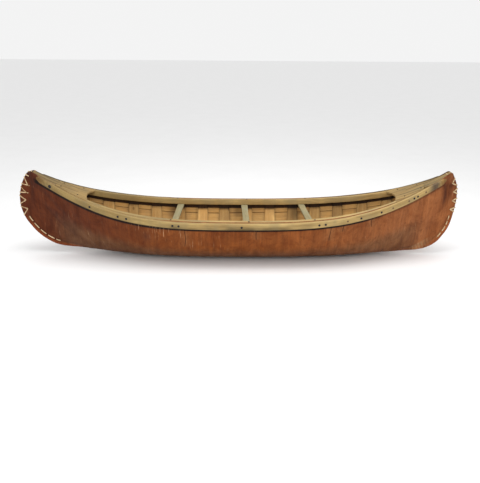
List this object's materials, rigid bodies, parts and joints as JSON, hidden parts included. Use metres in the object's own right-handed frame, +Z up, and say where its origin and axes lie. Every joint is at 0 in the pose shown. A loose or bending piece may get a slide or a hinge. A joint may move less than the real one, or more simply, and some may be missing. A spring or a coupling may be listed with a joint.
{
  "type": "canoe",
  "caption": "Small open canoe of sewn birch bark over split-cedar sheathing and bent ribs, with nailed wooden gunwales, flat thwarts, end decks and root-stitched stems.",
  "frame": {"origin": "middle of the canoe's length and beam, at the lowest point of the bark", "axes": "+X along the keel towards the end with the taller, more upright stem; +Y across the beam; +Z up"},
  "size_m": [3.0648, 0.6824, 0.608],
  "materials": {
    "bark": "smooth reddish-brown inner bark, lightly waxed",
    "rib_cedar": "split cedar, dry",
    "sheathing_cedar": "thin split cedar, dry",
    "gunwale_wood": "weathered straight-grained wood",
    "thwart_wood": "greyed hewn wood",
    "deck_wood": "weathered board",
    "root": "split spruce root",
    "iron": "dark oxidised nail iron"
  },
  "bodies": {
    "root": {"bark_hull": "bark", "rib_01": "rib_cedar", "rib_02": "rib_cedar", "rib_03": "rib_cedar", "rib_04": "rib_cedar", "rib_05": "rib_cedar", "rib_06": "rib_cedar", "rib_07": "rib_cedar", "rib_08": "rib_cedar", "rib_09": "rib_cedar", "rib_10": "rib_cedar", "rib_11": "rib_cedar", "rib_12": "rib_cedar", "rib_13": "rib_cedar", "rib_14": "rib_cedar", "rib_15": "rib_cedar", "sheathing_keel": "sheathing_cedar", "sheathing_1_far": "sheathing_cedar", "sheathing_1_near": "sheathing_cedar", "sheathing_2_far": "sheathing_cedar", "sheathing_2_near": "sheathing_cedar", "sheathing_3_far": "sheathing_cedar", "sheathing_3_near": "sheathing_cedar", "sheathing_4_far": "sheathing_cedar", "sheathing_4_near": "sheathing_cedar", "sheathing_5_far": "sheathing_cedar", "sheathing_5_near": "sheathing_cedar", "sheathing_6_far": "sheathing_cedar", "sheathing_6_near": "sheathing_cedar", "outwale_far": "gunwale_wood", "inwale_far": "gunwale_wood", "outwale_nails_far": "iron", "outwale_near": "gunwale_wood", "inwale_near": "gunwale_wood", "outwale_nails_near": "iron", "thwart_left": "thwart_wood", "thwart_middle": "thwart_wood", "thwart_right": "thwart_wood", "deck_left": "deck_wood", "tip_block_left": "deck_wood", "headboard_left": "rib_cedar", "stem_piece_left": "rib_cedar", "stem_stitching_left": "root", "chin_stitching_left": "root", "tip_lashing_left": "root", "deck_right": "deck_wood", "tip_block_right": "deck_wood", "headboard_right": "rib_cedar", "stem_piece_right": "rib_cedar", "stem_stitching_right": "root", "chin_stitching_right": "root", "tip_lashing_right": "root", "thwart_nails": "iron", "deck_nails": "iron"}
  },
  "joints": []
}
